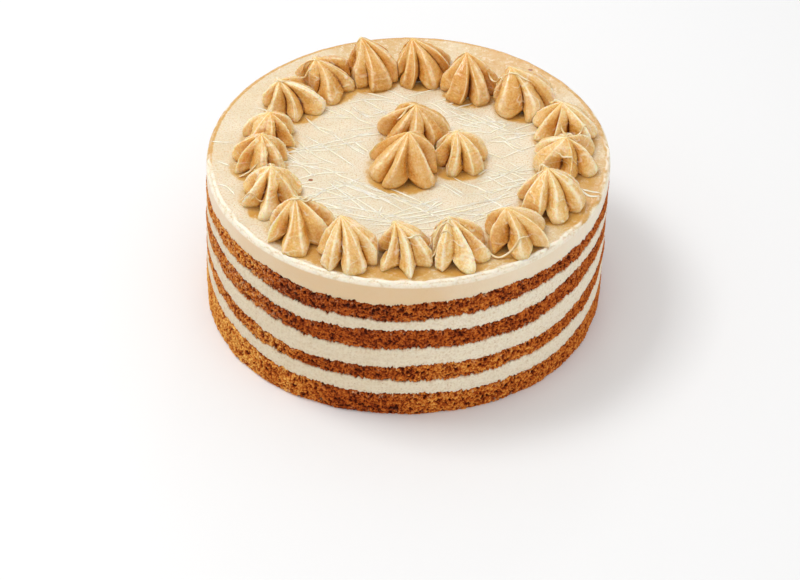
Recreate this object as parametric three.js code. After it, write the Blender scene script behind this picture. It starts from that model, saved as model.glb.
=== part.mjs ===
// Caramel torte. Four layers of caramel sponge hold three layers of pale cream between them.
// A thicker layer of cream covers the top, with seventeen piped rosettes in a ring near its edge
// and three more in the middle. Millimetres, +Z up. The origin is on the base, in the middle of
// the torte's outline seen from above. The front of the torte is -Y, and azimuths are degrees
// from the front, positive towards +X.

import * as THREE from 'three';

// Driving dimensions of the whole
const HEIGHT = 82.8; // from the base to the flat of the top cream
const BASE_RADIUS = 102.2;
const TOP_RADIUS = 100;
const TOP_SHIFT = 2.5; // the torte leans, so its top lies this far to +X of its base
const SQUARENESS = 0.9; // the foot of the side stands out this much at its four soft corners
const EDGE_ROUND = 3; // the smoothed upper edge of the top cream
const EDGE_STEPS = 3;
const GAP = 0.3; // left between any two pieces that touch
const SIDE_SEGMENTS = 72;

// The layers from the base up. `top` is the height of a layer's upper face round the side,
// `lift` is how far that face rises at the left and right, `tilt` how far it rises towards +X,
// and each wave has a height, a count round the torte and the azimuth of one of its crests.
const LAYERS = [
  { name: 'sponge_1', kind: 'sponge', top: 13.2, lift: 6, tilt: -2, waves: [[0.5, 5, 10], [0.35, 13, 4]] },
  { name: 'cream_1', kind: 'cream', top: 21.9, lift: 6.5, tilt: -1, waves: [[0.4, 7, -20], [0.3, 17, 9]] },
  { name: 'sponge_2', kind: 'sponge', top: 30.8, lift: 6.5, tilt: 0.5, waves: [[0.9, 5, 12], [0.35, 14, 7]] },
  { name: 'cream_2', kind: 'cream', top: 42, lift: 4.5, tilt: 0.5, waves: [[0.5, 7, -45], [0.35, 16, 2]] },
  { name: 'sponge_3', kind: 'sponge', top: 53, lift: 4, tilt: 0.5, waves: [[1.3, 6, -2], [0.3, 15, 5]] },
  { name: 'cream_3', kind: 'cream', top: 61, lift: 1.5, tilt: 1, waves: [[1.3, 3, 50], [0.35, 13, 11]] },
  { name: 'sponge_4', kind: 'sponge', top: 71, lift: 2.5, tilt: 0.8, waves: [[1, 5, 24], [0.35, 16, 6]] },
  { name: 'cream_top', kind: 'top', top: HEIGHT, lift: 0, tilt: 0, waves: [] },
];
// Rings up the wall of each kind of layer, as shares of its thickness. The rounded edge of the
// top layer adds its own.
const WALL_RINGS = { sponge: [0, 0.33, 0.67, 1], cream: [0, 0.33, 0.67, 1], top: [0, 0.4] };
const SPONGE_SWELL = 0.5; // a sponge bulges out between its two cut edges
const CREAM_SWELL = 0.3;
const SPONGE_CRAGS = 0.35; // how far crumbs broke away or stand proud round a sponge
const CRAG_COUNTS = [19, 31]; // round the torte

// The piped rosettes. Each has the middle of its foot (x, y) measured from the middle of the
// top, its foot radius, its height, how far its tip bends over (x, y), the number of its lobes
// and the direction of one of them, in degrees from +X.
const RIM_ROSETTES = [
  { x: -19, y: 65.5, radius: 15, height: 21, bend: [-5.5, 3], lobes: 6, turn: -72 },
  { x: 7.5, y: 69, radius: 16, height: 20, bend: [-6, 0.5], lobes: 7, turn: -72 },
  { x: 31.5, y: 54, radius: 15, height: 20, bend: [-2, 3], lobes: 6, turn: -68 },
  { x: 59, y: 43, radius: 16.5, height: 19.5, bend: [-7.5, 2.5], lobes: 6, turn: -74 },
  { x: 78.5, y: 15.5, radius: 17.5, height: 19.5, bend: [-2.5, 0], lobes: 7, turn: -6 },
  { x: 78, y: -8, radius: 16.8, height: 18, bend: [-1, -3], lobes: 6, turn: -90 },
  { x: 70, y: -38.5, radius: 16.3, height: 20.5, bend: [-3.5, 0], lobes: 6, turn: -78 },
  { x: 51, y: -66.5, radius: 15.8, height: 18.5, bend: [-5, 1], lobes: 6, turn: -84 },
  { x: 24, y: -77, radius: 15.5, height: 20, bend: [-5, 2], lobes: 7, turn: -74 },
  { x: -1, y: -79, radius: 14.6, height: 20, bend: [-5, 0], lobes: 6, turn: -84 },
  { x: -28, y: -79, radius: 15, height: 21, bend: [-3.5, 4], lobes: 6, turn: -78 },
  { x: -51.5, y: -62, radius: 16.5, height: 21, bend: [-2, 1], lobes: 6, turn: -92 },
  { x: -66.5, y: -36, radius: 15.5, height: 19.5, bend: [0.5, 0], lobes: 6, turn: -95 },
  { x: -74, y: -8, radius: 14.5, height: 18, bend: [2, -1], lobes: 7, turn: -90 },
  { x: -69.5, y: 10, radius: 15, height: 17, bend: [0.8, 0], lobes: 6, turn: -85 },
  { x: -58.5, y: 40, radius: 15.5, height: 17.5, bend: [-6.5, -4], lobes: 7, turn: -80 },
  { x: -42, y: 57, radius: 16.3, height: 18.5, bend: [-5.5, -3.5], lobes: 6, turn: -80 },
];
const CENTRE_ROSETTES = [
  { x: 3, y: 13.5, radius: 17.5, height: 21, bend: [0.5, -2.5], lobes: 7, turn: 10 },
  { x: -3, y: -13, radius: 18.5, height: 21.5, bend: [3, 1.5], lobes: 7, turn: -105 },
  { x: 24.5, y: -6, radius: 14.6, height: 19, bend: [-1, -1.5], lobes: 6, turn: -50 },
];

// The form that all rosettes share: the foot tucks in a little, the lobes are fullest just above
// it, and the crests run up in a soft curve to a pointed tip.
const CREST_RINGS = [0.12, 0.36, 0.6, 0.82]; // heights of the rings between foot and tip
const CREST_CURVE = 2;
const CREST_TAPER = 1.15;
const BEND_CURVE = 2.2; // the bend is felt mostly near the tip
const FOOT_TUCK = 0.9;
const GROOVE_DEPTH = 0.4; // of the radius at a crest
const GROOVE_SHARPNESS = 2.6;
const LOBE_UNEVENNESS = 0.06;
const UNEVENNESS_STEP = 2.4; // radians that the unevenness is turned from rosette to rosette
const ROSETTE_TWIST = 9; // degrees between foot and tip
const SEGMENTS_PER_LOBE = 6;
const PRESSING_DISTANCE = 6; // rosettes whose feet lie nearer than this press on each other

const MATERIALS = {
  sponge: new THREE.MeshStandardMaterial({ color: 0x9a5a26, roughness: 0.95, metalness: 0 }),
  cream: new THREE.MeshStandardMaterial({ color: 0xe6dcc4, roughness: 0.6, metalness: 0 }),
  top: new THREE.MeshStandardMaterial({ color: 0xecd9b4, roughness: 0.35, metalness: 0 }),
  rosette: new THREE.MeshStandardMaterial({ color: 0xe3bd86, roughness: 0.45, metalness: 0 }),
};

// A profile of [radius, height] points, from the axis below to the axis above, turned once round
// +Z. `place` then moves every point; it is given the point's radius, azimuth and height, which
// is never below 0.
function turned(profile, segments, place) {
  const points = profile.map(([radius, height]) => new THREE.Vector2(radius, height));
  const geometry = new THREE.LatheGeometry(points, segments);
  geometry.rotateX(Math.PI / 2);
  const position = geometry.getAttribute('position');
  const point = new THREE.Vector3();
  for (let i = 0; i < position.count; i++) {
    point.fromBufferAttribute(position, i);
    const radius = Math.hypot(point.x, point.y);
    place(point, radius, Math.atan2(point.x, -point.y), Math.max(point.z, 0));
    position.setXYZ(i, point.x, point.y, point.z);
  }
  geometry.computeVertexNormals();
  return geometry;
}

// How far the side stands from the axis at a height.
function sideRadius(azimuth, z) {
  const rise = z / HEIGHT;
  const corners = -Math.cos(4 * azimuth) * SQUARENESS * (1 - rise);
  return THREE.MathUtils.lerp(BASE_RADIUS, TOP_RADIUS, rise) + corners;
}

// The height of a layer's upper face. `reach` is 0 on the axis and 1 at the side, so that the
// waves fade out towards the middle of the torte.
function upperFace(layer, azimuth, reach) {
  let height = layer.lift * Math.sin(azimuth) ** 4 + layer.tilt * Math.sin(azimuth);
  for (const [amplitude, count, crest] of layer.waves) {
    height += amplitude * Math.cos(count * (azimuth - THREE.MathUtils.degToRad(crest)));
  }
  return layer.top + height * reach;
}

// How far a wall stands out from the side between its layer's faces.
function wallSwell(layer, azimuth, up) {
  const swell = Math.sin(Math.PI * up);
  if (layer.kind !== 'sponge') return CREAM_SWELL * swell;
  const [fewer, more] = CRAG_COUNTS;
  const crags = (Math.sin(fewer * azimuth + layer.top) + Math.sin(more * azimuth - layer.top)) / 2;
  return SPONGE_SWELL * swell + SPONGE_CRAGS * (crags - 1);
}

// The profile of a layer, in shares of the radius and of the layer's thickness.
function layerProfile(layer, thickness) {
  const profile = [[0, 0], ...WALL_RINGS[layer.kind].map((up) => [1, up])];
  if (layer.kind === 'top') {
    for (let i = 0; i <= EDGE_STEPS; i++) {
      const angle = (i / EDGE_STEPS) * Math.PI / 2;
      const inset = EDGE_ROUND * (1 - Math.cos(angle)) / TOP_RADIUS;
      profile.push([1 - inset, 1 - EDGE_ROUND * (1 - Math.sin(angle)) / thickness]);
    }
  }
  profile.push([0, 1]);
  return profile;
}

// One layer, from the face of the layer below it to its own.
function layerGeometry(layer, below) {
  const thickness = layer.top - (below ? below.top : 0);
  return turned(layerProfile(layer, thickness), SIDE_SEGMENTS, (point, reach, azimuth, up) => {
    const floor = below ? upperFace(below, azimuth, reach) + GAP : 0;
    const z = THREE.MathUtils.lerp(floor, upperFace(layer, azimuth, reach), up);
    const side = sideRadius(azimuth, z) + wallSwell(layer, azimuth, Math.min(up, 1));
    point.x = side * reach * Math.sin(azimuth) + TOP_SHIFT * z / HEIGHT;
    point.y = -side * reach * Math.cos(azimuth);
    point.z = z;
  });
}

// The radius of a rosette's crests at a height, as a share of its foot radius.
function crestRadius(up) {
  return (1 - up ** CREST_CURVE) ** CREST_TAPER;
}

// How far a rosette can reach from its axis in a direction before it meets the flat where it
// was pressed against a neighbour.
function pressedRadius(rosette, neighbours, direction, axisX, axisY) {
  let limit = Infinity;
  for (const other of neighbours) {
    const distance = Math.hypot(other.x - rosette.x, other.y - rosette.y);
    const nx = (other.x - rosette.x) / distance;
    const ny = (other.y - rosette.y) / distance;
    const facing = Math.cos(direction) * nx + Math.sin(direction) * ny;
    const share = rosette.radius / (rosette.radius + other.radius);
    const room = distance * share - GAP / 2 - (axisX * nx + axisY * ny);
    if (facing > 0) limit = Math.min(limit, room / facing);
  }
  return limit;
}

// One piped rosette, standing on the top cream.
function rosetteGeometry(rosette, index, neighbours) {
  const profile = [[0, 0], [FOOT_TUCK, 0]];
  for (const up of CREST_RINGS) profile.push([crestRadius(up), up]);
  profile.push([0, 1]);
  const turn = THREE.MathUtils.degToRad(rosette.turn);
  const twist = THREE.MathUtils.degToRad(ROSETTE_TWIST);
  return turned(profile, rosette.lobes * SEGMENTS_PER_LOBE, (point, share, azimuth, up) => {
    // A crest lies at azimuth 0 of the turned profile, and `turn` carries it to its place.
    const uneven = LOBE_UNEVENNESS * Math.sin(azimuth * 2 + index * UNEVENNESS_STEP);
    const groove = Math.abs(Math.sin(azimuth * rosette.lobes / 2)) ** GROOVE_SHARPNESS;
    const lobed = rosette.radius * share * (1 - GROOVE_DEPTH * groove) * (1 + uneven);
    const direction = turn + azimuth + twist * up + uneven;
    const bend = up ** BEND_CURVE;
    const axisX = rosette.bend[0] * bend;
    const axisY = rosette.bend[1] * bend;
    const radius = Math.min(lobed, pressedRadius(rosette, neighbours, direction, axisX, axisY));
    point.x = axisX + radius * Math.cos(direction);
    point.y = axisY + radius * Math.sin(direction);
    point.z = rosette.height * up;
  });
}

function addLayers(torte) {
  LAYERS.forEach((layer, i) => {
    const mesh = new THREE.Mesh(layerGeometry(layer, LAYERS[i - 1]), MATERIALS[layer.kind]);
    mesh.name = layer.name;
    torte.add(mesh);
  });
}

function addRosettes(torte) {
  const topOfTorte = new THREE.Group();
  topOfTorte.position.set(TOP_SHIFT, 0, HEIGHT + GAP);
  const all = [...RIM_ROSETTES, ...CENTRE_ROSETTES];
  all.forEach((rosette, i) => {
    const neighbours = all.filter((other) => {
      const apart = Math.hypot(other.x - rosette.x, other.y - rosette.y);
      return other !== rosette && apart < other.radius + rosette.radius + PRESSING_DISTANCE;
    });
    const mesh = new THREE.Mesh(rosetteGeometry(rosette, i, neighbours), MATERIALS.rosette);
    mesh.position.set(rosette.x, rosette.y, 0);
    const inRing = i < RIM_ROSETTES.length;
    const number = inRing ? i + 1 : i + 1 - RIM_ROSETTES.length;
    mesh.name = (inRing ? 'rim_rosette_' : 'centre_rosette_') + String(number).padStart(2, '0');
    topOfTorte.add(mesh);
  });
  torte.add(topOfTorte);
}

const torte = new THREE.Group();
addLayers(torte);
addRosettes(torte);
const middle = new THREE.Box3().setFromObject(torte).getCenter(new THREE.Vector3());
torte.position.set(-middle.x, -middle.y, 0);

export default torte;
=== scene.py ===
# Caramel torte: the finish of its sponges, creams, piped rosettes and syrup, in metres round the
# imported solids. Azimuths are degrees from the front, -Y, and positive towards +X.
import math

import bpy
import numpy as np
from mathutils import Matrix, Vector


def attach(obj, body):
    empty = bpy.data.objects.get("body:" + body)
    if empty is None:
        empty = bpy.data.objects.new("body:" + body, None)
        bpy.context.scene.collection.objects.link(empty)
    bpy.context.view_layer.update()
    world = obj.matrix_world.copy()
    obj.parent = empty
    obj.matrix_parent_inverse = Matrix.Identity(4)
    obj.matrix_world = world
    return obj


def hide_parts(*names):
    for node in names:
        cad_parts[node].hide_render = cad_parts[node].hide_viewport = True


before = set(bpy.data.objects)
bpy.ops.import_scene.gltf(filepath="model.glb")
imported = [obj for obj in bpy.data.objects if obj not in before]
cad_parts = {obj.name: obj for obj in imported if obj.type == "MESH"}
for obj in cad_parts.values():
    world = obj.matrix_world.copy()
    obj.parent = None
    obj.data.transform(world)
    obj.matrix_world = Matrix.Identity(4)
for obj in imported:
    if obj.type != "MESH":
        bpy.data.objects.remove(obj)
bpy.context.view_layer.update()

MM = 0.001

# Layers from the base up, and the rosettes on them
LAYERS = ["sponge_1", "cream_1", "sponge_2", "cream_2", "sponge_3", "cream_3", "sponge_4"]
TOP = "cream_top"
ROSETTES = sorted(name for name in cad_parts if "rosette" in name)
GAP = 0.3 * MM  # between the solids of two layers
CAD_COLUMNS = 72  # points in a ring round a layer's solid
CAD_RING_SHARES = [0, 0.33, 0.67, 1.0]  # of the height of a sponge or a filling
AXIS_REACH = 50 * MM  # points of a solid nearer the middle than this are on its axis

# Fineness of the walls
SPONGE_COLUMNS = 1900
SPONGE_ROWS = 38
FILLING_COLUMNS = 1100
FILLING_ROWS = 20
TOP_COLUMNS = 1000
TOP_WALL_ROWS = 18
TOP_EDGE_ROWS = 10
TOP_FACE_ROWS = 72

# The raised lip that the smoothing knife left on the rounded edge of the top
LIP_PLACE = 98.1 * MM  # from the middle
LIP_WIDTH = 0.95 * MM
LIP_HEIGHT = 0.8 * MM
LIP_SEED = 31

# The rounded edge of the top
EDGE_FULLNESS = 0.7  # 1 is a quarter circle, less is fuller
EDGE_HEIGHT = 80.4 * MM  # where it starts to round
SIDE_COLOUR_TO = 80.2 * MM
FACE_COLOUR_FROM = 81.9 * MM
FACE_HEIGHT = 82.5 * MM
FACE_ROW_SPACING = 1.7  # more than 1 puts the rows of the face closer together at its edge

# Where syrup lies on the top, from the middle
BELT_PLACE = 74 * MM  # thicker from here to the edge
BELT_EASE = 10 * MM
EDGE_LINE_PLACE = 97 * MM  # along the edge where it runs over
RUN_OVER_PLACE = 98 * MM  # a shore beyond this runs over the edge

# How the layers meet round the side
EDGE_INSETS = [(0.0, 0.7), (0.01, 0.35), (0.025, 0.12), (0.05, 0.0)]  # share of height, mm
CAP_INSET = 5 * MM
CAP_SINK = 0.25 * MM
RAGGED_WAVES = [(30, 110, 0.28), (110, 420, 0.25), (400, 540, 0.16)]  # waves round, mm
WAVES_IN_A_LINE = 24
ROUND_LENGTH = 0.64  # metres round the side
SMEAR_SEED = 40
SMEAR_REACH = 0.3  # share of a sponge's height that cream is smeared over
STAIN_SEED = 70
STAIN_REACH = 0.16  # share of a filling's height that crumbs have stained
SPURS = 80
SPUR_HEIGHT = 1.5 * MM
SPUR_WIDTH = 1.1 * MM

# What roughens each kind of wall, in mm
CRUMB_INPUTS = ["Pore size", "Pore depth", "Crumb size", "Crumb height", "Lump size",
                "Lump height", "Streak height"]
CRUMB = {
    "sponge": (2.3, 1.2, 2.2, 0.9, 4.5, 0.2, 0.0),
    "filling": (1.9, 0.35, 1.5, 0.12, 4.0, 0.1, 0.05),
    "top": (2.2, 0.2, 1.5, 0.03, 9.0, 0.12, 0.05),
}
TOP_SEED = 9
SEED_SHIFT = 0.317  # metres between the noise of one layer and the next
# Tone of each sponge round the side, 0 dark red-brown to 1 golden: (azimuth, tone, openness)
SPONGE_ZONES = {
    "sponge_1": [(-180, 0.6, 0.7), (-90, 0.78, 1.0), (-44, 0.8, 1.0), (-39, 0.58, 1.0),
                 (-34, 0.76, 1.0), (-27, 0.6, 1.0), (-18, 0.38, 0.6), (-4, 0.41, 0.7),
                 (6, 0.62, 0.9), (30, 0.6, 0.8), (90, 0.52, 0.7)],
    "sponge_2": [(-180, 0.5, 0.7), (-90, 0.6, 0.8), (-50, 0.66, 0.9), (-36, 0.72, 1.0),
                 (-28, 0.44, 0.7), (-10, 0.37, 0.6), (4, 0.61, 0.8), (30, 0.6, 0.8),
                 (60, 0.46, 0.6)],
    "sponge_3": [(-180, 0.5, 0.7), (-90, 0.6, 0.9), (-50, 0.62, 0.9), (-36, 0.4, 0.5),
                 (-8, 0.38, 0.4), (15, 0.42, 0.6), (30, 0.45, 0.6), (50, 0.44, 0.6)],
    "sponge_4": [(-180, 0.5, 0.7), (-90, 0.66, 0.9), (-48, 0.7, 0.9), (-36, 0.34, 0.7),
                 (-6, 0.37, 0.8), (8, 0.5, 0.8), (30, 0.47, 0.7), (60, 0.44, 0.6)],
}
# Cream wiped over the sponges round the side: (azimuth, how much)
CREAM_DUST = {
    "sponge_1": [(-180, 0.0), (0, 0.0)],
    "sponge_2": [(-180, 0.1), (-44, 0.25), (-30, 0.0), (60, 0.0)],
    "sponge_3": [(-180, 0.1), (-80, 0.6), (-42, 0.55), (-32, 0.0), (40, 0.0)],
    "sponge_4": [(-180, 0.1), (-80, 0.5), (-40, 0.45), (-30, 0.1), (0, 0.05)],
}
# Where syrup has run out on the face round the torte: (azimuth, how much, mm from the middle)
SHORES = [(-160, 0.65, 101), (-150, 0.25, 101), (-120, 0.3, 101), (-105, 0.1, 101),
          (-90, 0.3, 101), (-75, 0.15, 98), (-60, 0.1, 92), (-50, 0.35, 92), (-36, 0.95, 96.5),
          (-25, 1.0, 98), (-10, 1.0, 98), (0, 0.8, 97.8), (15, 0.7, 98), (28, 0.6, 98),
          (40, 0.5, 97.6), (48, 0.4, 97.6), (58, 1.25, 101), (66, 1.25, 101), (76, 0.95, 100),
          (90, 0.5, 100), (105, 0.95, 101), (118, 0.3, 101), (130, 0.8, 101), (150, 0.9, 101),
          (165, 0.4, 101), (180, 0.7, 101)]
# Painted shade on the filling creams round the torte, paler to the right: 0 tan, 1 pale
FILLING_SIDE_SHADE = [(-180, 0.6), (-60, 0.3), (-10, 0.4), (15, 0.9), (60, 1.0)]
# Brown specks on the top, in mm
SPECKS = [(-46, -22), (-33, -27), (65, 70)]
# Painted shade on the top cream's side round the torte, paler to the right: 0 pale, 1 tan
TOP_SIDE_SHADE = [(-180, 0.5), (-110, 0.2), (-60, 0.75), (-15, 1.0), (5, 0.95), (20, 0.5), (50, 0.15),
              (110, 0.2)]

# Rosettes
SEGMENTS_TO_A_LOBE = 34
ROSETTE_RINGS = 72
CAD_POINTS_TO_A_LOBE = 6
CAD_FOOT_TUCK = 0.9
# The brownness is a browner tone with painted shade, darkening a whole rosette
ROSETTE_FINISH = {  # (syrup on it, brownness, plumpness of its lobes), where not (1, 0, 1)
    "centre_rosette_01": (0.3, 0.18, 1.7), "centre_rosette_02": (0.1, 0.16, 1.9),
    "centre_rosette_03": (0.2, 0.0, 1.4), "rim_rosette_01": (0.5, 0.19, 1.2),
    "rim_rosette_02": (0.1, 0.18, 1.5), "rim_rosette_03": (0.4, 0.18, 1.6),
    "rim_rosette_04": (1.0, 0.14, 1.6), "rim_rosette_05": (1.0, 0.05, 1.5),
    "rim_rosette_06": (1.0, 0.05, 1.0), "rim_rosette_07": (1.0, 0.03, 1.4),
    "rim_rosette_08": (0.6, 0.12, 1.2), "rim_rosette_11": (1.0, 0.08, 1.4),
    "rim_rosette_12": (1.0, 0.06, 1.0), "rim_rosette_13": (1.0, 0.02, 1.2),
    "rim_rosette_14": (1.0, 0.09, 1.2), "rim_rosette_15": (0.5, 0.08, 1.0),
    "rim_rosette_16": (0.3, 0.05, 1.4), "rim_rosette_17": (1.0, 0.13, 1.4)}
FLATS = ["Flat 1", "Flat 2", "Flat 3"]  # where neighbours press
PRESSING_DISTANCE = 6 * MM
SIDE_SHARE = 0.9  # share of a rosette's rings that are on its side, the rest are below it
ROSETTE_TWIST = math.radians(9)
BEND_POWER = 2.2  # how much of the bend is in the tip
GROOVE_DEPTH = 0.54  # share of the radius
OVERHANG = 5 * MM  # how far a groove's foot may be lifted off the top
FOOT_SINK = 0.5 * MM  # a rosette's foot settles this far into the cream below it

# Threads of syrup drizzled over the top. Each is x, y, x, y and so on in mm from the middle.
THREAD_TOP = 130 * MM  # threads fall from this height
THREAD_STEP = 0.5 * MM
STRAY_SEED = 4
STRAY_SWINGS = [-36, 20]  # degrees from +X
STRAYS_TO_A_SWING = 42
STRAYS_CLEAR_OF = (8, -10, 25)  # bare cream before the middle rosettes: x, y and radius in mm
STRAY_REACH = (22, 68)
STRAY_LENGTHS = (20, 56)
THREADS = [
    (-52, 29, -47, 22, -42, 19, -36, 16), (-49, 25, -44, 18, -38, 14),
    (-37, 39, -30, 33, -25, 27, -20, 24, -15, 21), (-30, 40, -25, 33, -20, 30, -14, 29),
    (-28, 36, -23, 31, -19, 28), (-44, 28, -39, 29, -34, 29, -27, 28),
    (-54, 2, -47, 4, -40, 8, -34, 10, -30, 11, -24, 14, -15, 17), (-32, 9, -27, 3, -20, -3),
    (-28, 10, -24, 5, -19, 0), (-61, -2, -57, -6, -52, -9, -46, -9, -39, -8),
    (-56, 1, -52, -4, -48, -7), (-61, -12, -56, -11, -52, -12, -48, -17, -44, -20),
    (-52, -10, -45, -12, -39, -14, -33, -19, -29, -21, -23, -25, -17, -28, -12, -32),
    (-39, -20, -36, -23, -31, -26, -26, -29, -21, -32),
    (-51, -34, -46, -35, -43, -32, -40, -29, -36, -27, -31, -25, -26, -22, -20, -18),
    (-40, -42, -33, -38, -26, -36, -19, -35, -11, -34, -7, -33, -3, -37, 2, -41, 9, -46),
    (-27, -28, -21, -32, -16, -36, -12, -37, -6, -42, 0, -48), (-25, -23, -19, -28, -12, -32),
    (-18, 31, -11, 35), (-15, -51, -14, -47, -12, -41), (-23, 50, -17, 48, -12, 46, -4, 43),
    (-12, 53, -4, 47, 2, 43), (-14, 43, -4, 40), (7, 40, 11, 41, 15, 38, 19, 33, 21, 30),
    (12, 42, 16, 43, 21, 46), (22, 35, 26, 38, 33, 41), (19, 37, 26, 30, 31, 27, 37, 24),
    (21, 30, 31, 25, 37, 21), (22, 27, 27, 23, 34, 21, 38, 19),
    (26, 16, 34, 17, 40, 16, 43, 18, 50, 23, 56, 26),
    (38, 6, 41, 9, 45, 9, 48, 9, 51, 5, 54, 2, 61, -1),
    (38, 9, 45, 13, 49, 11, 53, 13, 56, 12, 61, 9), (49, 9, 52, 6, 56, 3), (53, 9, 57, 5),
    (38, 1, 41, -1, 47, -5), (39, -8, 45, -11, 51, -15, 57, -17, 63, -16), (49, -7, 54, -12),
    (37, -18, 41, -21, 45, -25, 49, -28), (21, -19, 27, -24, 33, -27, 40, -32, 44, -34),
    (13, -24, 19, -28, 24, -33, 28, -37), (16, -23, 23, -29, 28, -34),
    (7, -48, 10, -44, 14, -39, 17, -38), (23, -44, 30, -41, 35, -39, 43, -36, 47, -33, 54, -30),
    (21, -48, 28, -47, 34, -44), (47, -31, 51, -27), (34, -18, 39, -13), (-99, 9, -93, 8, -87, 8),
    (-95, -7, -88, -11), (-94, -26, -89, -27, -84, -34), (-80, 37, -73, 35, -70, 30),
    (82, -26, 86, -32, 89, -34, 94, -34), (84, -28, 88, -30, 94, -32),
    (-14, -55, -1, -51, 15, -46, 35, -39, 50, -34, 64, -27), (-6, -58, 10, -54, 25, -48, 38, -43),
    (-4, -52, 14, -49, 30, -44, 46, -36), (-40, -38, -33, -41, -18, -46, -5, -50, 8, -55),
    (-36, -45, -22, -50, -8, -54, 4, -58), (-30, -50, -16, -53, 0, -56),
    (-22, -57, -8, -56, 6, -59, 20, -57), (16, -60, 28, -55, 42, -47),
    (-48, -38, -36, -42, -26, -48), (-44, -46, -34, -49, -22, -55), (28, -52, 42, -44, 54, -38),
    (36, -34, 48, -28, 62, -24), (30, -26, 40, -22, 51, -15, 60, -8),
    (-60, -20, -53, -26, -41, -30, -28, -37), (44, -25, 54, -22, 64, -20),
    (8, -47, 12, -43, 18, -39),
]
# Syrup that hangs over the rosettes, written in the same way
DRIPS = [
    (48, 42, 54, 42, 59, 40, 62, 39), (40, 53, 44, 48, 49, 40),
    (36, -77, 41, -81, 47, -80, 53, -77, 58, -73), (-3, -85, 0, -84, 5, -81, 9, -74),
    (-46, 52, -50, 54, -54, 55, -57, 55), (-59, 56, -53, 50, -48, 49),
    (75, 8, 78, 3, 82, -1, 88, -1), (79, 0, 85, 4, 91, 12), (70, 23, 73, 22, 78, 28),
    (83, 18, 89, 18, 94, 18), (-11, 67, -8, 70, -2, 84, 2, 74),
    (-30, 69, -26, 68, -20, 73, -14, 80),
    (-74, -26, -70, -29, -66, -33, -63, -30, -60, -22, -53, -13), (-54, -59, -50, -59, -45, -52),
    (-54, -61, -49, -61, -45, -54), (-57, -62, -52, -62, -47, -57), (9, -81, 14, -76, 21, -76),
    (10, -87, 15, -81, 22, -82), (11, -82, 16, -77, 22, -79), (-82, -43, -75, -44, -69, -45),
    (-84, -21, -79, -19, -73, -19), (-72, 48, -65, 36, -59, 39), (24, 62, 29, 59, 37, 66),
    (62, -29, 67, -33, 73, -27, 80, -26), (71, -16, 77, -18, 83, -19),
    (-41, -70, -35, -71, -30, -73), (-27, -71, -22, -73, -17, -73), (-6, 7, -2, 10, 3, 13),
    (19, -5, 23, -6, 28, -4), (8, -72, 14, -70, 22, -66), (10, -78, 16, -75, 24, -72),
    (-60, -50, -53, -47, -47, -52), (-58, -54, -52, -51, -46, -56), (55, -36, 67, -28, 74, -20),
    (60, -40, 68, -31, 78, -27),
]

# The camera, at the photograph's viewing angle
CAMERA_PLACE = (0.0018, -0.9195, 0.7977)
CAMERA_TARGET = (-0.0024, 0.0, -0.0079)
CAMERA_LENS = 105.4
LIGHT_TARGET = (0, 0, 0.04)


# Node trees

class Wire:
    """What comes out of a node. Arithmetic on a wire adds the node that does it."""

    def __init__(self, socket):
        self.socket = socket
        self.tree = socket.id_data

    def calc(self, operation, *others):
        values = dict(enumerate((self,) + others))
        return add_node(self.tree, "ShaderNodeMath", values, operation=operation)

    def __add__(self, other):
        return self.calc("ADD", other)

    def __sub__(self, other):
        return self.calc("SUBTRACT", other)

    def __rsub__(self, other):
        return self.calc("MULTIPLY_ADD", -1.0, other)

    def __mul__(self, other):
        return self.calc("MULTIPLY", other)

    def __truediv__(self, other):
        return self.calc("DIVIDE", other)

    def __rtruediv__(self, other):
        return (self ** -1.0) * other

    def __pow__(self, power):
        return self.calc("POWER", power)

    __radd__ = __add__
    __rmul__ = __mul__

    def beside(self, name):
        """Another output of the node that this wire leaves."""
        return Wire(next(s for s in self.socket.node.outputs if s.enabled and s.name == name))

    def axes(self):
        """The x, y and z of a wire that carries a vector."""
        x = add_node(self.tree, "ShaderNodeSeparateXYZ", {"Vector": self})
        return x, x.beside("Y"), x.beside("Z")


def add_node(tree, kind, values=None, **settings):
    """A new node with its settings and inputs, and the wire that leaves it."""
    node = tree.nodes.new(kind)
    for name, setting in settings.items():
        setattr(node, name, setting)
    for key, value in (values or {}).items():
        if isinstance(key, int):
            socket = node.inputs[key]
        else:
            socket = next(s for s in node.inputs if s.enabled and s.name == key)
        if isinstance(value, Wire):
            tree.links.new(value.socket, socket)
        else:
            socket.default_value = value
    return Wire(next(s for s in node.outputs if s.enabled))


def eased(value, low, high, at_low=0.0, at_high=1.0):
    """A soft step from at_low to at_high as the value goes from low to high."""
    values = {"Value": value, "From Min": low, "From Max": high,
              "To Min": at_low, "To Max": at_high}
    return add_node(value.tree, "ShaderNodeMapRange", values, interpolation_type="SMOOTHSTEP")


def vector(tree, x=0.0, y=0.0, z=0.0):
    return add_node(tree, "ShaderNodeCombineXYZ", {"X": x, "Y": y, "Z": z})


def vector_calc(operation, place, other):
    values = {0: place, 1: other}
    return add_node(place.tree, "ShaderNodeVectorMath", values, operation=operation)


def moved(place, x=0.0, y=0.0, z=0.0):
    """A place shifted by numbers or wires."""
    return vector_calc("ADD", place, vector(place.tree, x, y, z))


def stretched(place, factors):
    return vector_calc("MULTIPLY", place, factors)


def noise(place, size, detail=2.0, roughness=0.5):
    """Soft noise of about -1 to 1, in lumps of that size."""
    values = {"Vector": place, "Scale": 1 / size, "Detail": detail, "Roughness": roughness}
    return add_node(place.tree, "ShaderNodeTexNoise", values) * 3.2 - 1.6


def wobbled(place, size, amount):
    """A place pushed about by noise, so that what is drawn there isn't regular."""
    values = {"Vector": place, "Scale": 1 / size, "Detail": 2.0}
    push = add_node(place.tree, "ShaderNodeTexNoise", values).beside("Color")
    x, y, z = push.axes()
    return moved(place, (x - 0.5) * amount, (y - 0.5) * amount, (z - 0.5) * amount)


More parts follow.
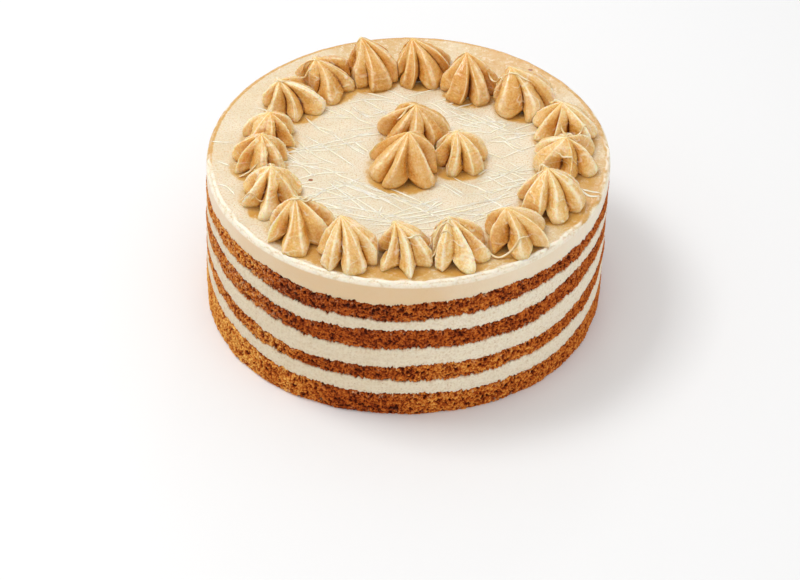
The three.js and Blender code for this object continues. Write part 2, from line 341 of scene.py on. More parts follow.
def pits(place, size, fullness, share):
    """Round hollows, 1 in the middle of each and 0 between them. Only a share of the cells of
    that size have one, and fullness is how much of its cell a hollow takes."""
    values = {"Vector": place, "Scale": 1 / size}
    distance = add_node(place.tree, "ShaderNodeTexVoronoi", values)
    chance, width, _ = distance.beside("Color").axes()
    reach = (width * 0.6 + 0.4) * fullness
    return eased(distance / reach, 1.0, 0.25) * eased(chance, share + 0.04, share - 0.04)


def crumb_walls(place, size):
    """The walls between the small holes of a sponge, 1 on a wall and 0 in a hole."""
    return eased(noise(place, size, 2.0, 0.6).calc("ABSOLUTE"), 0.62, 0.04)


def new_tree(name, inputs):
    """A Geometry Nodes tree, and its named inputs as wires."""
    tree = bpy.data.node_groups.new(name, "GeometryNodeTree")
    for label, kind in inputs.items():
        tree.interface.new_socket(label, in_out="INPUT", socket_type="NodeSocket" + kind)
    tree.interface.new_socket("Geometry", in_out="OUTPUT", socket_type="NodeSocketGeometry")
    entry = tree.nodes.new("NodeGroupInput")
    return tree, {label: Wire(entry.outputs[label]) for label in inputs}


def finish_tree(geometry, material):
    """Ends a tree: smooth shading, realized instances and the material."""
    tree = geometry.tree
    smooth = add_node(tree, "GeometryNodeSetShadeSmooth", {"Geometry": geometry})
    real = add_node(tree, "GeometryNodeRealizeInstances", {"Geometry": smooth})
    done = add_node(tree, "GeometryNodeSetMaterial", {"Geometry": real, "Material": material})
    end = tree.nodes.new("NodeGroupOutput")
    tree.links.new(done.socket, end.inputs[0])


def attribute(tree, name):
    return add_node(tree, "GeometryNodeInputNamedAttribute", {"Name": name}, data_type="FLOAT")


def stored(geometry, name, value):
    values = {"Geometry": geometry, "Name": name, "Value": value}
    return add_node(geometry.tree, "GeometryNodeStoreNamedAttribute", values, data_type="FLOAT")


def new_object(name, data):
    made = bpy.data.objects.new(name, data)
    bpy.context.scene.collection.objects.link(made)
    return made


def grow(name, tree, settings, base=None):
    """The plain mesh that a tree makes of its settings, as a new object at the origin."""
    mesh = base or bpy.data.meshes.new(name)
    carrier = new_object(name + "_carrier", mesh)
    modifier = carrier.modifiers.new("Nodes", "NODES")
    modifier.node_group = tree
    for item in tree.interface.items_tree:
        if item.in_out == "INPUT" and item.name in settings:
            modifier[item.identifier] = settings[item.name]
    depsgraph = bpy.context.evaluated_depsgraph_get()
    grown = bpy.data.meshes.new_from_object(carrier.evaluated_get(depsgraph))
    carrier.modifiers.clear()
    bpy.data.objects.remove(carrier)
    return new_object(name, grown)


# Colours and materials

def srgb(red, green, blue):
    """A colour given in 0 to 255, as the shaders take it."""
    def linear(value):
        value = value / 255
        return value / 12.92 if value < 0.04045 else ((value + 0.055) / 1.055) ** 2.4
    return (linear(red), linear(green), linear(blue), 1.0)


def mixed(factor, first, second):
    """One colour mixed into another. Each is a wire or red, green and blue in 0 to 255."""
    first, second = (c if isinstance(c, Wire) else srgb(*c) for c in (first, second))
    values = {"Factor": factor, "A": first, "B": second}
    return add_node(factor.tree, "ShaderNodeMix", values, data_type="RGBA")


def colour_ramp(value, stops):
    ramp = add_node(value.tree, "ShaderNodeValToRGB", {0: value})
    elements = ramp.socket.node.color_ramp.elements
    for i, (place, colour) in enumerate(stops):
        element = elements[i] if i < 2 else elements.new(place)
        element.position = place
        element.color = srgb(*colour)
    return ramp


def new_material(name, **finish):
    """A material, its Principled shader with the plain values of its finish, and two wires:
    the place on the object and the shader's tree."""
    material = bpy.data.materials.new(name)
    material.use_nodes = True
    tree = material.node_tree
    tree.nodes.clear()
    finish["Subsurface Scale"] = 1.0
    shader = add_node(tree, "ShaderNodeBsdfPrincipled", finish)
    end = tree.nodes.new("ShaderNodeOutputMaterial")
    tree.links.new(shader.socket, end.inputs["Surface"])
    place = add_node(tree, "ShaderNodeTexCoord").beside("Object")
    return material, shader.socket.node, place


def connect(shader, name, wire):
    shader.id_data.links.new(wire.socket, shader.inputs[name])


def surface_value(tree, name):
    """A named value of the mesh, in a material."""
    return add_node(tree, "ShaderNodeAttribute", attribute_name=name).beside("Fac")


def dressed(shader, colour, place, grain, height):
    """Gives a shader its colour and the bumps of a fine grain, both sizes in mm."""
    connect(shader, "Base Color", colour)
    values = {"Height": noise(place, grain * MM, 2.0, 0.6), "Distance": height * MM}
    connect(shader, "Normal", add_node(place.tree, "ShaderNodeBump", values))


def sponge_material():
    material, shader, place = new_material(
        "sponge crumb", **{"Roughness": 0.85, "Subsurface Weight": 0.12,
                           "Subsurface Radius": (0.0025, 0.001, 0.0004),
                           "Specular IOR Level": 0.1})
    tree = place.tree
    tone = surface_value(tree, "tone")
    patches = noise(stretched(place, (1.0, 1.0, 1.6)), 4.5 * MM, 3.0, 0.65) * 0.2
    # Painted shade: darker in the pores and in the small holes between the crumbs
    crumb = (surface_value(tree, "crumb") - 0.78) * (tone * 0.9 + 0.36)
    grain = noise(place, 0.9 * MM, 2.0, 0.7) * 0.12
    pore_shade = surface_value(tree, "pore") * -0.6
    colour = colour_ramp(tone + patches + crumb + grain + pore_shade, [
        (0.0, (70, 20, 4)), (1.0, (248, 190, 98)), (0.25, (138, 54, 14)), (0.5, (188, 94, 30)),
        (0.75, (220, 140, 58))])
    smear = surface_value(tree, "smear") * eased(noise(place, 2.0 * MM, 3.0, 0.7), -0.1, 0.6)
    smear = smear * eased(surface_value(tree, "crumb"), 0.55, 0.9)
    colour = mixed((smear * 0.8).calc("MINIMUM", 0.85), colour, (224, 200, 162))
    dressed(shader, colour, place, 1.0, 0.1)
    return material


def filling_material():
    material, shader, place = new_material(
        "filling cream", **{"Roughness": 0.5, "Subsurface Weight": 0.3,
                            "Subsurface Radius": (0.003, 0.002, 0.0012)})
    tree = place.tree
    smears = noise(stretched(place, (1.0, 1.0, 5.0)), 9 * MM, 3.0)
    # Painted shade round the torte, tan at front and left, paler to the right
    tone = surface_value(tree, "tone") + smears * 0.2
    colour = mixed(eased(tone, 0.0, 1.0), (222, 205, 174), (236, 224, 200))
    grain = eased(noise(place, 1.1 * MM, 2.0, 0.7), -0.2, 0.9)
    specks = pits(wobbled(place, 2 * MM, 0.8 * MM), 1.5 * MM, 0.36, 0.24)
    # The tint from the pores is painted shade in them
    tints = [(grain * 0.6, (200, 170, 126)), (specks * 0.6, (168, 112, 62)),
             (surface_value(tree, "pore") * 0.4, (190, 160, 118)),
             (surface_value(tree, "stain") * 0.5, (178, 118, 66))]
    for share, tint in tints:
        colour = mixed(share, colour, tint)
    dressed(shader, colour, place, 1.2, 0.06)
    return material


def top_material():
    material, shader, place = new_material(
        "top cream", **{"Roughness": 0.36, "Subsurface Weight": 0.3,
                        "Subsurface Radius": (0.004, 0.0025, 0.0014),
                        "Coat Weight": 0.25, "Coat Roughness": 0.2})
    tree = place.tree
    _, _, height = place.axes()
    patches = noise(place, 14 * MM, 3.0)
    face = mixed(eased(patches, -1.0, 1.0), (222, 208, 180), (233, 222, 198))
    flecks = eased(noise(place, 0.9 * MM, 2.0, 0.7), -0.1, 0.6)
    face = mixed(flecks * 0.8, face, (204, 168, 112))
    # Painted shade on the side: tan at front and left, paler to the right
    side_shade = surface_value(tree, "side_shade")
    side = mixed(side_shade + noise(place, 20 * MM) * 0.15, (238, 226, 202), (226, 194, 150))
    colour = mixed(eased(height, SIDE_COLOUR_TO, FACE_COLOUR_FROM), side, face)
    # Painted highlight: a pale, patchy band along the rounded edge
    bend = eased(height, EDGE_HEIGHT, 81.2 * MM) * eased(height, 82.7 * MM, 82.3 * MM)
    bend = bend * eased(noise(place, 3 * MM, 3.0), -0.8, 0.2)
    colour = mixed(bend * 0.6, colour, (248, 240, 222))
    # wet: syrup on the belt and edge, syrup and painted shade at the rosettes' feet
    wet = surface_value(tree, "wet")
    wet = wet + noise(place, 4 * MM, 4.0, 0.7) * (wet * 0.45)
    # Painted glints: pale flecks on the thin syrup
    ripple_glints = eased(noise(place, 2.4 * MM, 4.0, 0.75), 0.0, 0.6) * 0.75
    thin = mixed(ripple_glints, (214, 182, 124), (250, 241, 218))
    colour = mixed(eased(wet, 0.0, 0.65), colour, thin)
    # Painted shade and deep syrup, darkest at the rosettes' feet
    deep_syrup_and_shade = eased(wet, 0.3, 0.95) * (1.0 - ripple_glints * 0.5)
    colour = mixed(deep_syrup_and_shade, colour, (204, 154, 76))
    # Painted highlight: the raised lip paler than the face
    lip = eased(surface_value(tree, "lip"), 0.12, 0.7)
    colour = mixed(lip * 0.8, colour, (250, 242, 224))
    specks = pits(wobbled(place, 3 * MM, 1.2 * MM), 2.6 * MM, 0.2, 0.05) * 0.6
    for x, y in SPECKS:
        spot = stretched(moved(wobbled(place, 1 * MM, 0.6 * MM), -x * MM, -y * MM), (0.8, 1.0, 0.0))
        away = add_node(tree, "ShaderNodeVectorMath", {0: spot}, operation="LENGTH")
        specks = specks.calc("MAXIMUM", eased(away, 1.1 * MM, 0.7 * MM))
    colour = mixed(specks, colour, (150, 80, 30))
    dressed(shader, colour, place, 1.8, 0.1)
    connect(shader, "Roughness", eased(wet, 0.1, 0.8, 0.42, 0.14))
    return material


def rosette_material():
    material, shader, place = new_material(
        "piped cream", **{"Roughness": 0.38, "Specular IOR Level": 0.3, "Subsurface Weight": 0.6,
                          "Subsurface Radius": (0.004, 0.0022, 0.0009),
                          "Coat Weight": 0.4, "Coat Roughness": 0.14})
    tree = place.tree
    # groove is each lobe's tone with painted shade: golden valleys, dark caves and crevices
    depth = surface_value(tree, "groove")
    mottle = noise(place, 1.0 * MM, 3.0, 0.7) * 0.26 + noise(place, 6 * MM) * 0.1
    stripes = surface_value(tree, "stripe") * 0.2
    colour = colour_ramp(depth + mottle + stripes, [
        (0.0, (251, 236, 204)), (1.0, (122, 58, 12)), (0.15, (243, 215, 162)),
        (0.4, (232, 187, 107)), (0.65, (215, 149, 60))])
    # Painted highlight: pale lines along the crests
    crest = surface_value(tree, "crest") * eased(noise(place, 3 * MM), -0.7, 0.3)
    colour = mixed(crest * 0.6, colour, (255, 246, 220))
    glaze = eased(noise(stretched(place, (1.0, 1.0, 0.5)), 4 * MM, 3.0, 0.6), 0.1, 0.8)
    colour = mixed(glaze * eased(depth, 0.7, 0.2) * 0.4, colour, (252, 240, 206))
    specks = pits(wobbled(place, 2 * MM, 0.8 * MM), 1.5 * MM, 0.28, 0.4)
    colour = mixed(specks * 0.55, colour, (164, 100, 40))
    # Painted shade with a browner tone, over the whole rosette and least on its crests
    brown = surface_value(tree, "brown") * eased(crest, 0.1, 0.8, 1.3, 0.2)
    colour = mixed(brown, colour, (186, 120, 44))
    drizzle = surface_value(tree, "drizzle")
    colour = mixed(drizzle * 0.55, colour, (252, 240, 212))
    dressed(shader, colour, place, 1.6, 0.1)
    wet = (eased(noise(place, 7 * MM, 3.0), 0.0, 0.8) + drizzle).calc("MINIMUM", 1.0)
    connect(shader, "Roughness", eased(wet, 0.0, 1.0, 0.5, 0.16))
    return material


def syrup_material(name, gold, pale):
    material, shader, place = new_material(
        name, **{"Roughness": 0.14, "Subsurface Weight": 0.35,
                 "Subsurface Radius": (0.002, 0.0012, 0.0006),
                 "Coat Weight": 0.3, "Coat Roughness": 0.05})
    colour = mixed(eased(noise(place, 6 * MM), -1.0, 1.0), gold, pale)
    # Painted shade: tan on the threads' sides
    colour = mixed(surface_value(place.tree, "flank"), colour, (224, 186, 126))
    connect(shader, "Base Color", colour)
    return material


# Reading the solids

def solid_points(node):
    """The corner points of a solid, each once."""
    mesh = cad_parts[node].data
    points = np.empty(len(mesh.vertices) * 3)
    mesh.vertices.foreach_get("co", points)
    return np.unique(points.reshape(-1, 3).round(7), axis=0)


class LayerSide:
    """The side of a layer's solid: its rings from the lowest up, as (ring, azimuth, xyz)."""

    def __init__(self, node):
        points = solid_points(node)
        on_axis = np.hypot(points[:, 0], points[:, 1]) < AXIS_REACH
        self.axis = points[on_axis][np.argsort(points[on_axis][:, 2])]
        wall = points[~on_axis]
        centre = self.centre(wall[:, 2])
        azimuth = np.arctan2(wall[:, 0] - centre[:, 0], centre[:, 1] - wall[:, 1])
        columns = CAD_COLUMNS
        rings = len(wall) // columns
        column = np.round(azimuth / (2 * np.pi) * columns).astype(int) % columns
        self.rings = np.empty((rings, columns, 3))
        for i in range(columns):
            ring = wall[column == i]
            self.rings[:, i] = ring[np.argsort(ring[:, 2])]

    def centre(self, height):
        """The axis at a height, as an array of points."""
        low, high = self.axis[0], self.axis[-1]
        share = (np.asarray(height) - low[2]) / (high[2] - low[2])
        return low + share[..., None] * (high - low)

    def smooth_rings(self, columns):
        """The rings with more columns, through the solid's own points as smooth waves."""
        waves = np.fft.rfft(self.rings, axis=1)
        old = self.rings.shape[1]
        waves[:, -1] *= 0.5
        fine = np.zeros((waves.shape[0], columns // 2 + 1, 3), complex)
        fine[:, :waves.shape[1]] = waves
        return np.fft.irfft(fine, n=columns, axis=1) * columns / old


def azimuths(columns):
    """The azimuth of each column in degrees, from 0 up to 360."""
    return np.arange(columns) * 360 / columns


def round_the_torte(zones, columns, value=1):
    """The values of a zone list round the torte, eased from one to the next."""
    places = [zone[0] for zone in zones]
    values = [zone[value] for zone in zones]
    fine = (azimuths(columns) + 180) % 360 - 180
    return np.interp(fine, places, values, period=360)


def uneven_waves(draw, columns, lowest, highest):
    """A wavy line round the torte of about -1 to 1, of waves that go round it lowest to
    highest times."""
    angle = np.radians(azimuths(columns))
    counts = draw.integers(lowest, highest, WAVES_IN_A_LINE)
    turns = draw.uniform(0, 2 * np.pi, WAVES_IN_A_LINE)
    waves = np.cos(counts[:, None] * angle + turns[:, None])
    return waves.sum(axis=0) / math.sqrt(WAVES_IN_A_LINE / 2)


def ragged_line(seed, columns):
    """How far the line between two layers strays from its even course, in metres."""
    draw = np.random.default_rng(seed)
    angle = np.radians(azimuths(columns))
    line = np.zeros(columns)
    for lowest, highest, amplitude in RAGGED_WAVES:
        line += uneven_waves(draw, columns, lowest, highest) * amplitude * MM
    for _ in range(SPURS):
        middle = draw.uniform(0, 2 * np.pi)
        height = draw.uniform(-1, 1) ** 3 * SPUR_HEIGHT
        width = SPUR_WIDTH * draw.uniform(0.5, 1.4) / ROUND_LENGTH * 2 * np.pi
        away = np.abs((angle - middle + np.pi) % (2 * np.pi) - np.pi) / width
        line += height * np.clip(1 - away, 0, 1)
    return line


def mesh_from_rows(name, rows, values):
    """A closed mesh from rows of points, each row a ring round the torte, from the middle of its
    underside to the middle of its top. values are named arrays of one number for each point."""
    count, columns, _ = rows.shape
    poles = np.array([rows[0].mean(axis=0), rows[-1].mean(axis=0)])
    points = np.concatenate([rows.reshape(-1, 3), poles])
    here = np.arange(count * columns).reshape(count, columns)
    beside = np.roll(here, -1, axis=1)
    quads = np.stack([here[:-1], beside[:-1], beside[1:], here[1:]], axis=-1).reshape(-1, 4)
    low = np.stack([np.full(columns, count * columns), beside[0], here[0]], axis=-1)
    high = np.stack([np.full(columns, count * columns + 1), here[-1], beside[-1]], axis=-1)
    mesh = bpy.data.meshes.new(name)
    mesh.from_pydata(points.tolist(), [], quads.tolist() + low.tolist() + high.tolist())
    for label, numbers in values.items():
        ends = [numbers[0].mean(), numbers[-1].mean()]
        flat = np.concatenate([numbers.ravel(), ends]).astype(np.float32)
        mesh.attributes.new(label, "FLOAT", "POINT").data.foreach_set("value", flat)
    return mesh


# Layers

def cap_row(edge, rise):
    """The row inside an edge, from which the face above or below the wall is closed."""
    cap = edge.copy()
    cap[:, :2] *= 1 - CAP_INSET / np.hypot(cap[:, 0], cap[:, 1])[:, None]
    cap[:, 2] += rise
    return cap


def layer_rows(node, index, columns, rows):
    """The wall of a layer between its two ragged lines, closed by a face above and below, and
    for each row its share of the layer's height and whether it is on the wall."""
    rings = LayerSide(node).smooth_rings(columns)
    edges = EDGE_INSETS + [(1 - share, inset) for share, inset in reversed(EDGE_INSETS)]
    half = len(EDGE_INSETS)
    inner = [(share, 0.0) for share in np.linspace(0, 1, rows + 2)[1:-1]
             if EDGE_INSETS[-1][0] < share < 1 - EDGE_INSETS[-1][0]]
    course = edges[:half] + inner + edges[half:]
    foot = ragged_line(index, columns) - GAP / 2
    head = ragged_line(index + 1, columns) + GAP / 2
    if index == 0:
        foot = np.zeros(columns)
    made = []
    for share, inset in course:
        weights = [np.prod([(share - b) / (a - b) for b in CAD_RING_SHARES if b != a])
                   for a in CAD_RING_SHARES]
        row = np.tensordot(weights, rings, axes=1)
        row[:, 2] += foot * (1 - share) + head * share
        row[:, :2] *= 1 - inset * MM / np.hypot(row[:, 0], row[:, 1])[:, None]
        made.append(row)
    low = cap_row(made[0], CAP_SINK if index else 0.0)
    high = cap_row(made[-1], -CAP_SINK)
    shares = [0.0] + [share for share, _ in course] + [1.0]
    on_wall = [0.0] + [1.0 if inset < 0.2 else 0.25 for _, inset in course] + [0.0]
    return np.stack([low] + made + [high]), np.array(shares), np.array(on_wall)


def spread(by_row, by_column):
    """A number for each point from one for each row and one for each column."""
    return np.outer(by_row, by_column)


def crumb_settings(kind, seed, material):
    """The settings of crumb_tree for one kind of wall."""
    sizes = {label: size * MM for label, size in zip(CRUMB_INPUTS, CRUMB[kind])}
    return {**sizes, "Seed": float(seed), "Material": material}


def crumb_tree():
    """Roughens a wall: pores, lumps and grain, each by its size and depth."""
    inputs = {"Wall": "Geometry", **dict.fromkeys(CRUMB_INPUTS + ["Seed"], "Float")}
    tree, given = new_tree("Crumb", {**inputs, "Material": "Material"})
    position = add_node(tree, "GeometryNodeInputPosition")
    seed = given["Seed"] * SEED_SHIFT
    place = moved(position, seed, seed, seed)
    openness = attribute(tree, "openness")
    on_wall = attribute(tree, "on_wall")

    def scaled(size):
        values = {0: place, "Scale": 1.0 / size}
        return add_node(tree, "ShaderNodeVectorMath", values, operation="SCALE")

    pore_place = wobbled(scaled(given["Pore size"]), 0.9, 0.9)
    large = pits(pore_place, 1.0, 0.8, 0.62)
    small = pits(moved(pore_place, 7.7), 0.45, 0.75, 0.8)
    pore = (large + small * 0.75) * openness
    grain_place = wobbled(scaled(given["Crumb size"]), 0.7, 0.6)
    crumb = crumb_walls(grain_place, 1.0) * 0.55 + crumb_walls(moved(grain_place, 5.3), 0.5) * 0.45
    lump_place = scaled(given["Lump size"])
    lump = noise(lump_place, 1.0, 3.0, 0.55)
    streak = noise(stretched(lump_place, (0.25, 0.25, 2.2)), 1.0, 2.0)
    out = lump * given["Lump height"] + streak * given["Streak height"]
    out = out + (crumb - 0.5) * given["Crumb height"] * (openness * 0.5 + 0.5)
    out = out - pore * given["Pore depth"]
    x, y, _ = position.axes()
    reach = (x * x + y * y) ** 0.5
    out = out * on_wall / reach
    offset = vector(tree, x * out, y * out)
    wall = stored(given["Wall"], "pore", pore.calc("MINIMUM", 1.0))
    wall = stored(wall, "crumb", crumb)
    wall = add_node(tree, "GeometryNodeSetPosition", {"Geometry": wall, "Offset": offset})
    finish_tree(wall, given["Material"])
    return tree


def make_layers(tree, sponge, filling):
    """The sponges and the creams between them."""
    for index, node in enumerate(LAYERS):
        is_sponge = node.startswith("sponge")
        columns = SPONGE_COLUMNS if is_sponge else FILLING_COLUMNS
        rows, shares, on_wall = layer_rows(
            node, index, columns, SPONGE_ROWS if is_sponge else FILLING_ROWS)
        every_row, every_column = np.ones(len(shares)), np.ones(columns)
        values = {"on_wall": spread(on_wall, every_column)}
        if is_sponge:
            zones = SPONGE_ZONES[node]
            values["tone"] = spread(every_row, round_the_torte(zones, columns))
            values["openness"] = spread(every_row, round_the_torte(zones, columns, 2))
            near_edge = np.clip(1 - np.minimum(shares, 1 - shares) / SMEAR_REACH, 0, 1)
            smeared = np.clip(ragged_line(SMEAR_SEED + index, columns) / (0.4 * MM), 0, 1)
            dusted = round_the_torte(CREAM_DUST[node], columns)
            values["smear"] = spread(near_edge, smeared) + dusted
            settings = crumb_settings("sponge", index + 1, sponge)
        else:
            near_edge = np.clip(1 - np.minimum(shares, 1 - shares) / STAIN_REACH, 0, 1)
            # Painted shade round the torte, stored as the filling's tone
            values["tone"] = spread(every_row, round_the_torte(FILLING_SIDE_SHADE, columns))
            stains = np.clip(ragged_line(STAIN_SEED + index, columns) / (0.5 * MM), 0, 1)
            values["stain"] = spread(near_edge, stains)
            values["openness"] = spread(every_row, every_column * 0.5)
            settings = crumb_settings("filling", index + 1, filling)
        base = mesh_from_rows(node, rows, values)
        piece = grow(node.replace("_", "_layer_"), tree, settings, base)
        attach(piece, "root")
        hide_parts(node)


def syrup_and_shade_at_feet(points, feet):
    """How much syrup, with painted shade, lies at points of the top near the rosettes' feet."""
    wet = np.zeros(points.shape[:-1])
    for foot in feet:
        away = points[..., :2] - foot["centre"][:2]
        distance = np.hypot(away[..., 0], away[..., 1]) - foot["radius"]
        # Heaviest on a rosette's front side, where its painted shade falls
        front = np.clip(-away[..., 1] / foot["radius"], 0, 1)
        near = np.clip(1 - (distance - 0.4 * MM * front) / ((1.6 + 2.2 * front) * MM), 0, 1)
        wet = np.maximum(wet, near * near * (3 - 2 * near) * (0.4 + 0.6 * front))
    return wet


def top_rows(side):
    """The rows of the top cream: its wall, rounded edge and flat face."""
    rings = side.smooth_rings(TOP_COLUMNS)
    foot, edge, inner = rings[0], rings[2], rings[-1]
    ragged = ragged_line(len(LAYERS), TOP_COLUMNS) - GAP / 2
    rows = [cap_row(foot, CAP_SINK)]
    for share in np.linspace(0, 1, TOP_WALL_ROWS)[:-1]:
        row = foot + (edge - foot) * share
        row[:, 2] += ragged * (1 - share)
        rows.append(row)
    for angle in np.linspace(0, math.pi / 2, TOP_EDGE_ROWS)[:-1]:
        row = edge + (inner - edge) * (1 - math.cos(angle) ** EDGE_FULLNESS)
        up = math.sin(angle) ** EDGE_FULLNESS
        row[:, 2] = edge[:, 2] + (inner[:, 2] - edge[:, 2]) * up
        rows.append(row)
    for share in np.linspace(0, 1, TOP_FACE_ROWS)[:-1] ** FACE_ROW_SPACING:
        rows.append(inner + (side.axis[-1] - inner) * share)
    return np.stack(rows)


def make_top(tree, material, feet):
    """The top cream, with the lip on its edge, its syrup and painted shade at the rosettes' feet.
    """
    side = LayerSide(TOP)
    centre = side.axis[-1]
    rows = top_rows(side)
    # Syrup at the rosettes' feet, with painted shade there
    wet = syrup_and_shade_at_feet(rows, feet) * (rows[..., 2] > FACE_HEIGHT)
    from_axis = np.hypot(rows[..., 0] - centre[0], rows[..., 1] - centre[1])
    draw = np.random.default_rng(LIP_SEED)
    lip_sway = uneven_waves(draw, TOP_COLUMNS, 5, 50)
    lip_crinkle = uneven_waves(draw, TOP_COLUMNS, 40, 160)
    lip_place = LIP_PLACE + (0.5 * lip_sway + 0.2 * lip_crinkle) * MM
    shore = round_the_torte(SHORES, TOP_COLUMNS, 2) * MM
    run_over = np.clip((shore - RUN_OVER_PLACE) / (3 * MM), 0, 1)
    lip_height = LIP_HEIGHT * (1 + 0.35 * lip_sway + 0.2 * lip_crinkle) * (1 - 0.8 * run_over)
    lip = lip_height * np.exp(-((from_axis - lip_place) / LIP_WIDTH) ** 2)
    lip[:TOP_WALL_ROWS] = 0
    lip *= np.clip((rows[..., 2] - EDGE_HEIGHT) / (1.8 * MM), 0, 1)
    rows[..., 2] += lip
    belt = np.clip((from_axis - BELT_PLACE) / BELT_EASE, 0, 1)
    wet = np.maximum(wet, belt * round_the_torte(SHORES, TOP_COLUMNS) * 0.8)
    edge_line = np.clip((from_axis - EDGE_LINE_PLACE) / (0.8 * MM), 0, 1) * run_over
    wet = np.maximum(wet, edge_line)
    shore = shore + lip_sway * 0.6 * MM
    wet *= np.clip((shore - from_axis) / (2 * MM), 0, 1)
    wet *= np.clip((rows[..., 2] - 81 * MM) / (1.2 * MM), 0, 1)
    on_wall = np.zeros(len(rows))
    on_wall[1:TOP_WALL_ROWS + TOP_EDGE_ROWS // 2] = 1.0
    every_row, every_column = np.ones(len(rows)), np.ones(TOP_COLUMNS)
    side_shade = round_the_torte(TOP_SIDE_SHADE, TOP_COLUMNS)
    values = {
        "on_wall": spread(on_wall, every_column), "side_shade": spread(every_row, side_shade),
        "openness": spread(every_row, every_column * 0.15), "wet": wet,
        "lip": lip / LIP_HEIGHT}
    settings = crumb_settings("top", TOP_SEED, material)
    piece = grow("top_layer_cream", tree, settings, mesh_from_rows(TOP, rows, values))
    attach(piece, "root")
    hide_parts(TOP)
    return piece


# Rosettes

def rosette_form(node):
    """The foot, tip, lobes and direction of a rosette, from its solid."""
    points = solid_points(node)
    low = points[points[:, 2] < points[:, 2].min() + 0.01 * MM]
    middle = low[np.argmin(np.hypot(*(low[:, :2] - low[:, :2].mean(axis=0)).T))]
    ring = low[np.hypot(*(low[:, :2] - middle[:2]).T) > MM]
    away = ring[:, :2] - middle[:2]
    reach = np.hypot(away[:, 0], away[:, 1])
    direction = np.arctan2(away[:, 1], away[:, 0])
    lobes = len(ring) // CAD_POINTS_TO_A_LOBE
    phase = np.angle(np.sum(reach * np.exp(1j * lobes * direction))) / lobes
    crest = np.sort(reach)[-2 * lobes:].mean() / CAD_FOOT_TUCK
    return {"centre": middle, "tip": points[np.argmax(points[:, 2])], "lobes": lobes,
            "turn": phase, "radius": crest}


def pressing_planes(form, others):
    """The vectors from a rosette's middle to the flats where its nearest neighbours press."""
    planes = []
    for other in others:
        away = other["centre"] - form["centre"]
        distance = np.hypot(away[0], away[1])
        if distance and distance < form["radius"] + other["radius"] + PRESSING_DISTANCE:
            share = form["radius"] / (form["radius"] + other["radius"])
            planes.append((distance, away / distance * (distance * share - 0.1 * MM)))
    planes.sort(key=lambda plane: plane[0])
    far = np.array([1.0, 0.0, 0.0])
    return ([plane for _, plane in planes] + [far] * len(FLATS))[:len(FLATS)]


